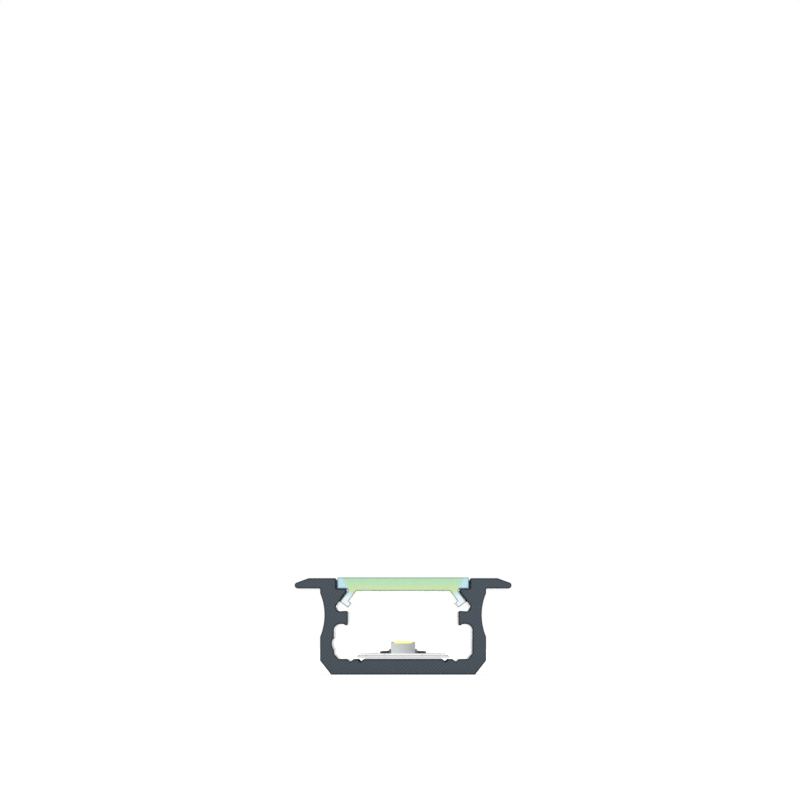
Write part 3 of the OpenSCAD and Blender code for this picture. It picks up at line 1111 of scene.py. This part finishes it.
def profile_corners(size):
    """Corners (x, z, radius) of the profile's section, anticlockwise seen from the front."""
    low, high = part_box("profile")
    cheek_x = size.body_w / 2
    cavity_x = cheek_x - size.wall_t
    rib_x = cavity_x - size.rib_w
    pocket_x = cheek_x - size.shoulder_t
    ledge_z = high.z - size.pocket_depth
    rib_top_z = ledge_z - size.undercut_h
    rib_z = rib_top_z - size.rib_t
    flange_z = high.z - size.flange_t
    waist_top_z = flange_z - size.collar_h

    # The nose's corner lies outside its round by this much, so that the round stands in by nose_w
    lean = math.tan(size.undercut_a)
    nose_x = pocket_x - size.nose_w - size.nose_r * (lean + 1 / math.cos(size.undercut_a) - 1)
    undercut_x = nose_x + size.undercut_h * lean

    # Each flange ends in a round nearly as full as its thin edge allows
    edge_h = size.flange_t - size.flange_slope_w * math.tan(size.flange_slope_a)
    fullness = 0.98
    tip_r = fullness * edge_h / (1 + math.tan((math.pi / 2 - size.flange_slope_a) / 2))

    # The waist is one arc: x = cheek - depth + r * (1 + cos a), z = middle + r * sin a
    waist_h = waist_top_z - size.cheek_h
    waist_r = (waist_h ** 2 / 4 + size.waist_depth ** 2) / (2 * size.waist_depth)
    waist_half_a = math.asin(waist_h / 2 / waist_r)
    waist_steps = 28
    turns = math.pi + waist_half_a * (1 - 2 * np.arange(1, waist_steps) / waist_steps)
    waist = np.stack([
        cheek_x - size.waist_depth + waist_r * (1 + np.cos(turns)),
        (size.cheek_h + waist_top_z) / 2 + waist_r * np.sin(turns),
        np.zeros(len(turns)),
    ], 1).tolist()

    marks = []
    for distance in (size.mark_wide, size.mark_narrow):
        marks += [
            (distance / 2 + size.mark_w / 2, size.floor_t, 0),
            (distance / 2, size.floor_t - size.mark_depth, 0),
            (distance / 2 - size.mark_w / 2, size.floor_t, 0),
        ]

    outside = [
        (cheek_x - size.foot_slope_w, low.z, 0),
        (cheek_x, low.z + size.foot_slope_h, 0),
        (cheek_x, size.cheek_h, size.waist_end_r),
        *waist,
        (cheek_x, waist_top_z, size.waist_end_r),
        (cheek_x, flange_z, size.flange_root_r),
        (high.x, flange_z, tip_r),
        (high.x, flange_z + edge_h, tip_r),
        (high.x - size.flange_slope_w, high.z, 0),
        (pocket_x, high.z, size.rim_r),
        (pocket_x, ledge_z, size.ledge_r),
        (nose_x, ledge_z, size.nose_r),
        (undercut_x, rib_top_z, size.undercut_r),
        (rib_x, rib_top_z + size.rib_rise, size.rib_r),
        (rib_x, rib_z - size.bead_h, size.rib_r),
        (rib_x + size.bead_w - size.bead_h, rib_z - size.bead_h, size.small_r),
        (rib_x + size.bead_w, rib_z, size.small_r),
        (cavity_x, rib_z, size.arch_r),
    ]
    floor_corner = [
        (cavity_x, size.floor_t + size.corner_slope_h, 0),
        (cavity_x - size.corner_slope_w, size.floor_t, 0),
        *marks,
    ]

    # The notch is an arc that meets the left wall at both its ends
    centre_x = size.notch_r - size.notch_depth - cavity_x
    centre_z = size.floor_t + size.notch_h
    notch_half_a = math.acos((size.notch_r - size.notch_depth) / size.notch_r)
    notch_steps = 14
    turns = math.pi + notch_half_a * np.linspace(1, -1, notch_steps + 1)
    notch = np.stack([
        centre_x + size.notch_r * np.cos(turns),
        centre_z + size.notch_r * np.sin(turns),
        np.zeros(len(turns)),
    ], 1).tolist()

    def mirrored(corners):
        return [(-x, z, radius) for x, z, radius in reversed(corners)]

    return outside + floor_corner + mirrored(floor_corner) + notch + mirrored(outside)


def cover_corners(profile, size):
    """Corners (x, z, radius) of the cover's section, anticlockwise seen from the front."""
    low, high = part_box("cover")
    ledge_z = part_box("profile")[1].z - profile.pocket_depth
    pocket_x = profile.body_w / 2 - profile.shoulder_t
    lean = math.tan(profile.undercut_a)
    nose_x = pocket_x - profile.nose_w - profile.nose_r * (
        lean + 1 / math.cos(profile.undercut_a) - 1
    )
    down_leg = np.array([math.sin(profile.undercut_a), -math.cos(profile.undercut_a)])
    out_of_leg = np.array([math.cos(profile.undercut_a), math.sin(profile.undercut_a)])
    outer = np.array([nose_x, ledge_z]) - size.leg_gap * out_of_leg
    inner = outer - size.leg_t * out_of_leg

    def on_leg(point, z):
        """The point at height z on the line that runs down the leg."""
        return point + down_leg * (point[1] - z) / math.cos(profile.undercut_a)

    # The round on the bead's lower corner is the cover's lowest point, so the corner lies a little below
    corner_z = low.z - size.bead_end_r * (down_leg[0] - down_leg[1] - 1)
    inner_end = on_leg(inner, corner_z + size.bead_w * out_of_leg[1])
    bead_start = inner_end - size.bead_l * down_leg
    into_bead = -size.bead_w * out_of_leg
    half = [
        (*on_leg(inner, ledge_z - size.drop), size.leg_root_r),
        (*bead_start, size.small_r),
        (*(bead_start + into_bead), size.bead_r),
        (*(inner_end + into_bead), size.bead_end_r),
        (*(inner_end + size.leg_t * out_of_leg), size.small_r),
        (*on_leg(outer, ledge_z), size.leg_root_r),
        (high.x, ledge_z, size.small_r),
        (high.x, high.z, size.edge_r),
    ]
    return half + [(-x, z, radius) for x, z, radius in reversed(half)]


def end_or_side(rings, quads):
    """Material number of a carried section's quads: 1 on the broken edges of both ends, 0 between."""
    size = rings.shape[1]
    ring = quads[..., 0].ravel() // size
    return np.where((ring == 0) | (ring == len(rings) - 2), 1, 0)


class LIGHTPROFILE_OT_profile(Operator):
    """Skins the extruded profile with its drawn sides and sawn ends"""

    bl_idname = "light_profile.profile"
    bl_label = "Profile"

    def execute(self, context):
        size = context.scene.light_profile_body
        finish = context.scene.light_profile_finishes
        low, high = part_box("profile")
        rings = carried(profile_corners(size), low.y, high.y, size.edge_break)
        # Painted shade: the broken edge round the cut is darkened below the cut itself
        edge_shade = 0.6
        piece = make(
            "extruded_profile",
            [rings],
            [
                anodised_skin(finish),
                sawn_aluminium(finish, "sawn_aluminium_edge_painted_shade", edge_shade),
                sawn_aluminium(finish, "sawn_aluminium_end", 1.0),
            ],
            paint=end_or_side,
            cap_paint=2,
        )
        settle(piece, ["profile"], CHANNEL)
        return {"FINISHED"}


class LIGHTPROFILE_OT_cover(Operator):
    """Skins the snap-in cover with its clear sides and cut ends"""

    bl_idname = "light_profile.cover"
    bl_label = "Cover"

    def execute(self, context):
        profile = context.scene.light_profile_body
        size = context.scene.light_profile_cover
        finish = context.scene.light_profile_finishes
        low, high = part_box("cover")
        rings = carried(cover_corners(profile, size), low.y, high.y, size.edge_break)
        # Painted shade: the broken edge round the cut is darkened below the cut itself
        edge_shade = 0.5
        piece = make(
            "snap_cover",
            [rings],
            [
                clear_acrylic(finish),
                cut_acrylic(finish, "cut_acrylic_edge_painted_shade", edge_shade),
                cut_acrylic(finish, "cut_acrylic_end", 1.0),
            ],
            paint=end_or_side,
            cap_paint=2,
        )
        settle(piece, ["cover"], COVER)
        return {"FINISHED"}


class LIGHTPROFILE_OT_strip(Operator):
    """Skins the tape and the board, and finishes the white layer"""

    bl_idname = "light_profile.strip"
    bl_label = "Strip layers"

    def execute(self, context):
        size = context.scene.light_profile_strip
        finish = context.scene.light_profile_finishes
        layers = [
            ("tape", "foam_tape", foam_tape(finish), "adhesive_tape", size.tape_r),
            ("board", "board_film", board_laminate(finish), "board_film", size.board_r),
        ]
        for node_name, name, material, slot, edge_r in layers:
            low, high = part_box(node_name)
            corners = rectangle((low.x, low.z), (high.x, high.z), edge_r)
            rings = carried(corners, low.y, high.y, size.mould_r)
            settle(make(name, [rings], [material]), [node_name], CHANNEL)
        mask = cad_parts["coverlay"]
        mask.data.materials.clear()
        mask.data.materials.append(white_solder_mask(finish))
        return {"FINISHED"}


def housing_shells(size, low, high):
    """Rings of a lamp's housing: the moulded block with its cup, and the rail at each side of the cup.

    The block's rings run from the middle of the cup's floor outwards: up the cone to the rim, across the
    rim to the outline, and down the walls, which lean out by the draft, to the underside.
    """
    x, y = (high.x - low.x) / 2, (high.y - low.y) / 2
    cup_r = x - size.rim_w
    rim_z = high.z - size.rail_h
    floor_z = rim_z - size.cup_depth
    floor_r = cup_r - size.cup_depth * math.tan(size.cup_a)
    corner_r = 2 * size.mould_r
    block = [
        (-x, -y, corner_r),
        (x, -y, corner_r),
        (x, y - size.pole_mark_w, corner_r),
        (x - size.pole_mark_w, y, corner_r),
        (-x, y, corner_r),
    ]
    wall_pitch = 0.12 * MM
    full = finer(outline(block), wall_pitch)
    spokes = unit(full)
    leaned_in = full - size.draft * spokes
    rounded_in = full - (size.draft + size.mould_r) * spokes
    middle = np.array([(low.x + high.x) / 2, (low.y + high.y) / 2, 0])
    rings = np.stack([
        at_z(spokes * floor_r * 0.3, floor_z),
        at_z(spokes * floor_r, floor_z),
        at_z(spokes * (cup_r - size.mould_r / 3), rim_z - size.mould_r / 3),
        at_z(spokes * (cup_r + size.mould_r / 3), rim_z),
        at_z(rounded_in, rim_z),
        at_z(full - (size.draft + size.mould_r * 0.3) * spokes, rim_z - size.mould_r * 0.3),
        at_z(leaned_in, rim_z - size.mould_r),
        at_z(full, low.z + size.mould_r),
        at_z(rounded_in, low.z),
    ]) + middle
    shells = [rings]
    for side in SIDES.values():
        inner, outer = sorted((side * cup_r, side * (x - size.draft)))
        rail = rectangle((inner, size.draft - y), (outer, y - size.draft), size.mould_r)
        if side > 0:
            rail[2:] = [
                (outer, y - size.pole_mark_w - size.draft, size.mould_r / 2),
                (inner, y - size.draft - (size.pole_mark_w - (outer - inner)), size.mould_r / 2),
            ]
        shells.append(slab_rings(rail, rim_z, high.z, size.mould_r) + middle)
    return shells


def gel_rings(size, low, high, cup_r, rim_z):
    """Rings of a lamp's gel, from the middle of its cushion outwards and down the cup's cone.

    The cushion's edge is a quarter circle: r = reach - edge * (1 - sin a), z = top - edge * (1 - cos a).
    Inside it the top is crowned: z = top + crown * (1 - (r / reach) ^ 2).
    """
    spoke_number = 64
    turns = np.linspace(0, 2 * math.pi, spoke_number, endpoint=False)
    spokes = np.stack([np.cos(turns), np.sin(turns)], 1)
    reach = cup_r - size.gel_inset
    flat_r = reach - size.gel_edge_r
    crown = 0.02 * MM
    top_r = flat_r * np.linspace(0.05, 1, 7)
    top_z = high.z - crown + crown * (1 - (top_r / flat_r) ** 2)
    edge_a = np.linspace(0, math.pi / 2, 7)[1:]
    edge_radii = reach - size.gel_edge_r * (1 - np.sin(edge_a))
    edge_z = high.z - crown - size.gel_edge_r * (1 - np.cos(edge_a))
    floor_r = cup_r - size.cup_depth * math.tan(size.cup_a)
    radii = np.concatenate([top_r, edge_radii, [reach, cup_r, floor_r]])
    heights = np.concatenate([top_z, edge_z, [rim_z, rim_z, low.z]])
    middle = np.array([(low.x + high.x) / 2, (low.y + high.y) / 2, 0])
    return np.stack([at_z(spokes * r, z) for r, z in zip(radii, heights)]) + middle


def lead_rings(size, side, low, high):
    """Rings of a bent lead, whose section is carried along Y: a foot and an upright part."""
    inner, outer = (low.x, high.x) if side > 0 else (-high.x, -low.x)
    corners = [
        (inner, low.z, 0),
        (outer, low.z, size.lead_r),
        (outer, low.z + size.lead_t, size.lead_r),
        (inner + size.upright_t, low.z + size.lead_t + size.lead_rise, size.mould_r),
        (inner + size.upright_t, high.z, size.lead_r),
        (inner, high.z, 0),
    ]
    if side < 0:
        corners = [(-x, z, radius) for x, z, radius in reversed(corners)]
    return carried(corners, low.y, high.y, size.mould_r)


class LIGHTPROFILE_OT_lamps(Operator):
    """Skins each lamp's moulded housing, its gel and its two leads"""

    bl_idname = "light_profile.lamps"
    bl_label = "Lamps"

    def execute(self, context):
        size = context.scene.light_profile_strip
        finish = context.scene.light_profile_finishes
        housing = moulded_housing(finish, size)
        gel = silicone_gel(finish)
        metal = oxidised_lead(finish, size)
        for i in LAMPS:
            low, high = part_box(f"lamp_housing_{i}")
            piece = make(f"lamp_{i}_housing", housing_shells(size, low, high), [housing])
            settle(piece, [f"lamp_housing_{i}"], CHANNEL)
            cup_r = (high.x - low.x) / 2 - size.rim_w
            rim_z = high.z - size.rail_h
            low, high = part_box(f"lamp_gel_{i}")
            piece = make(f"lamp_{i}_gel", [gel_rings(size, low, high, cup_r, rim_z)], [gel], sharp=60)
            settle(piece, [f"lamp_gel_{i}"], CHANNEL)
            for name, side in SIDES.items():
                low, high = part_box(f"lamp_lead_{name}_{i}")
                piece = make(f"lamp_{i}_lead_{name}", [lead_rings(size, side, low, high)], [metal])
                settle(piece, [f"lamp_lead_{name}_{i}"], CHANNEL)
        return {"FINISHED"}


def land_rings(size, foot_low, foot_high, low_z, high_z):
    """Rings of one solder land, whose solder climbs to the foot that stands on it.

    From the land's outline inwards by t = 0 to 1 of its margin the solder rises by rise * t ^ 2.
    """
    margin = size.land_margin
    corner_r = margin / 2
    corners = rectangle(
        (foot_low[0] - margin, foot_low[1] - margin),
        (foot_high[0] + margin, foot_high[1] + margin),
        corner_r,
    )
    gap = 0.01 * MM
    shares = np.linspace(1.15, 0, 6)
    rings = [
        at_z(outline(corners, gap + share * margin), high_z + size.solder_rise * min(share, 1) ** 2)
        for share in shares
    ]
    rings.append(at_z(outline(corners, gap), low_z))
    return np.stack(rings)


class LIGHTPROFILE_OT_solder(Operator):
    """Skins the solder lands and the solder pads"""

    bl_idname = "light_profile.solder"
    bl_label = "Solder"

    def execute(self, context):
        size = context.scene.light_profile_strip
        tin = tinned_copper(context.scene.light_profile_finishes)
        land_low, land_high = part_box("lamp_lands")
        groups = {
            "lamp_lands": [f"lamp_lead_{side}_{i}" for i in LAMPS for side in SIDES],
            "resistor_lands": [f"resistor_cap_{end}_{i}" for i in RESISTORS for end in ("front", "back")],
        }
        for node_name, feet in groups.items():
            shells = []
            for foot in feet:
                low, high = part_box(foot)
                shells.append(land_rings(size, low, high, land_low.z, land_high.z))
            piece = make(f"tinned_{node_name}", shells, [tin], sharp=50)
            settle(piece, [node_name], CHANNEL)
        for i in CUTS:
            for pole in ("plus", "minus"):
                low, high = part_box(f"solder_pad_{pole}_{i}")
                corners = rectangle((low.x, low.y), (high.x, high.y), size.pad_r * 2)
                rings = slab_rings(corners, low.z, high.z, size.pad_r, crown=size.solder_rise)
                piece = make(f"tinned_pad_{pole}_{i}", [rings], [tin], sharp=50)
                settle(piece, [f"solder_pad_{pole}_{i}"], CHANNEL)
        return {"FINISHED"}


class LIGHTPROFILE_OT_resistors(Operator):
    """Skins each resistor's body and its two end caps"""

    bl_idname = "light_profile.resistors"
    bl_label = "Resistors"

    def execute(self, context):
        size = context.scene.light_profile_strip
        finish = context.scene.light_profile_finishes
        ceramic = glazed_ceramic(finish)
        tin = tinned_copper(finish)
        for i in RESISTORS:
            parts = [(f"resistor_{i}", f"resistor_{i}_body", ceramic, "resistor_ceramic")]
            parts += [
                (f"resistor_cap_{end}_{i}", f"resistor_{i}_cap_{end}", tin, "tin")
                for end in ("front", "back")
            ]
            for node_name, name, material, slot in parts:
                low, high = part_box(node_name)
                corners = rectangle((low.x, low.y), (high.x, high.y), size.mould_r)
                rings = slab_rings(corners, low.z, high.z, size.mould_r)
                settle(make(name, [rings], [material]), [node_name], CHANNEL)
        return {"FINISHED"}


def seen_directly(tree):
    """1 for rays that the camera, a gloss or a clear piece sends, and 0 for all others."""
    rays = node(tree, "ShaderNodeLightPath")
    camera_or_gloss = node(tree, "ShaderNodeMath", {
        0: rays.outputs["Is Camera Ray"],
        1: rays.outputs["Is Glossy Ray"],
    }, operation="MAXIMUM")
    return node(tree, "ShaderNodeMath", {
        0: camera_or_gloss.outputs[0],
        1: rays.outputs["Is Transmission Ray"],
    }, operation="MAXIMUM").outputs[0]


def pale_floor(finish):
    """A plain pale floor: white to the eye where it is lit, greyer in the object's shadow."""
    # Share of the floor's brightness to the eye that its own light gives, so the shadow stays soft
    own_light = 0.45
    material, tree, place = blank("pale_floor")
    diffuse = node(tree, "ShaderNodeBsdfDiffuse", {"Color": finish.floor})
    light = node(tree, "ShaderNodeEmission", {"Color": (1, 1, 1, 1), "Strength": own_light})
    white = node(tree, "ShaderNodeAddShader", {0: diffuse.outputs[0], 1: light.outputs[0]})
    mixed = node(tree, "ShaderNodeMixShader", {
        0: seen_directly(tree),
        1: diffuse.outputs[0],
        2: white.outputs[0],
    })
    show(tree, mixed.outputs[0])
    return material


def soft_lamp(name, place, aim, width, watts):
    """A square soft lamp at a place, turned towards its aim."""
    light = bpy.data.lights.new(name, "AREA")
    light.shape = "SQUARE"
    light.size = width
    light.energy = watts
    lamp = bpy.data.objects.new(name, light)
    towards = aim - np.array(place)
    level = math.hypot(towards[0], towards[1])
    lamp.location = place
    lamp.rotation_euler = (
        math.atan2(level, -towards[2]),
        0,
        math.atan2(towards[1], towards[0]) - math.pi / 2,
    )
    bpy.context.scene.collection.objects.link(lamp)
    return lamp


class LIGHTPROFILE_OT_stage(Operator):
    """Lays the floor, hangs the lamps, sets the world and stands the camera in front of the section"""

    bl_idname = "light_profile.stage"
    bl_label = "Stage"

    def execute(self, context):
        scene = context.scene
        view = scene.light_profile_view
        finish = scene.light_profile_finishes
        half = view.stage_w / 2
        # The floor lies a hair below the underside, so that the two don't share one plane
        floor_z = -0.02 * MM
        corners = [(-half, -half), (half, -half), (half, half), (-half, half)]
        mesh = bpy.data.meshes.new("floor")
        mesh.from_pydata([(x, y, floor_z) for x, y in corners], [], [(0, 1, 2, 3)])
        mesh.materials.append(pale_floor(finish))
        floor = bpy.data.objects.new("floor", mesh)
        scene.collection.objects.link(floor)

        # The world is white wherever it is seen, and lights the object from all sides
        world = bpy.data.worlds.new("studio")
        world.use_nodes = True
        tree = world.node_tree
        tree.nodes.clear()
        white = node(tree, "ShaderNodeBackground", {"Color": (1, 1, 1, 1), "Strength": 1.0})
        node(tree, "ShaderNodeOutputWorld", {"Surface": white.outputs[0]})
        scene.world = world

        middle = np.array([0, 0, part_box("profile")[1].z / 2])
        soft_lamp("key_lamp", (-0.9, -1.1, 1.3), middle, 0.9, 4.0)
        soft_lamp("fill_lamp", (1.3, -0.6, 0.8), middle, 1.2, 2.0)
        soft_lamp("back_lamp", (0.3, 1.4, 1.0), middle, 1.0, 2.0)

        camera = bpy.data.cameras.new("camera")
        camera.sensor_width = SENSOR_W
        camera.lens = view.lens
        half_frame = SENSOR_W / 2 / view.lens
        distance = view.frame_w / 2 / half_frame
        camera.clip_start = distance / 10
        camera.clip_end = distance * 10
        eye_px = view.base_px - view.eye_h * IMAGE_PX / view.frame_w
        down = (eye_px - IMAGE_PX / 2) / (IMAGE_PX / 2) * half_frame
        right = (view.middle_px - IMAGE_PX / 2) / (IMAGE_PX / 2) * half_frame
        eye = bpy.data.objects.new("camera", camera)
        eye.location = (0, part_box("profile")[0].y - distance, view.eye_h)
        eye.rotation_euler = (math.pi / 2 + math.atan(down), 0, math.atan(right))
        scene.collection.objects.link(eye)
        scene.camera = eye
        scene.view_settings.view_transform = "Standard"
        return {"FINISHED"}


class LIGHTPROFILE_PT_sidebar(Panel):
    """Lists the pieces and their sizes"""

    bl_idname = "LIGHTPROFILE_PT_sidebar"
    bl_label = "Light Profile"
    bl_space_type = "VIEW_3D"
    bl_region_type = "UI"
    bl_category = "Light Profile"

    def draw(self, context):
        column = self.layout.column()
        for operator in OPERATORS:
            column.operator(operator.bl_idname)
        for name, group in GROUPS.items():
            box = self.layout.box()
            box.label(text=group.__doc__)
            for key in group.__annotations__:
                box.prop(getattr(context.scene, name), key)


GROUPS = {
    "light_profile_body": ProfileSizes,
    "light_profile_cover": CoverSizes,
    "light_profile_strip": StripSizes,
    "light_profile_finishes": Finishes,
    "light_profile_view": ViewSettings,
}

OPERATORS = (
    LIGHTPROFILE_OT_profile,
    LIGHTPROFILE_OT_cover,
    LIGHTPROFILE_OT_strip,
    LIGHTPROFILE_OT_lamps,
    LIGHTPROFILE_OT_solder,
    LIGHTPROFILE_OT_resistors,
    LIGHTPROFILE_OT_stage,
)

CLASSES = (*GROUPS.values(), *OPERATORS, LIGHTPROFILE_PT_sidebar)


def register():
    """Registers the classes and hangs the property groups on the scene."""
    for made in CLASSES:
        bpy.utils.register_class(made)
    for name, group in GROUPS.items():
        setattr(bpy.types.Scene, name, PointerProperty(type=group))


def unregister():
    """Takes the property groups off the scene and unregisters the classes."""
    for name in reversed(GROUPS):
        delattr(bpy.types.Scene, name)
    for made in reversed(CLASSES):
        bpy.utils.unregister_class(made)


def main():
    """Builds every piece and the stage."""
    register()
    bpy.ops.light_profile.profile()
    bpy.ops.light_profile.cover()
    bpy.ops.light_profile.strip()
    bpy.ops.light_profile.lamps()
    bpy.ops.light_profile.solder()
    bpy.ops.light_profile.resistors()
    bpy.ops.light_profile.stage()


if __name__ == "__main__":
    main()
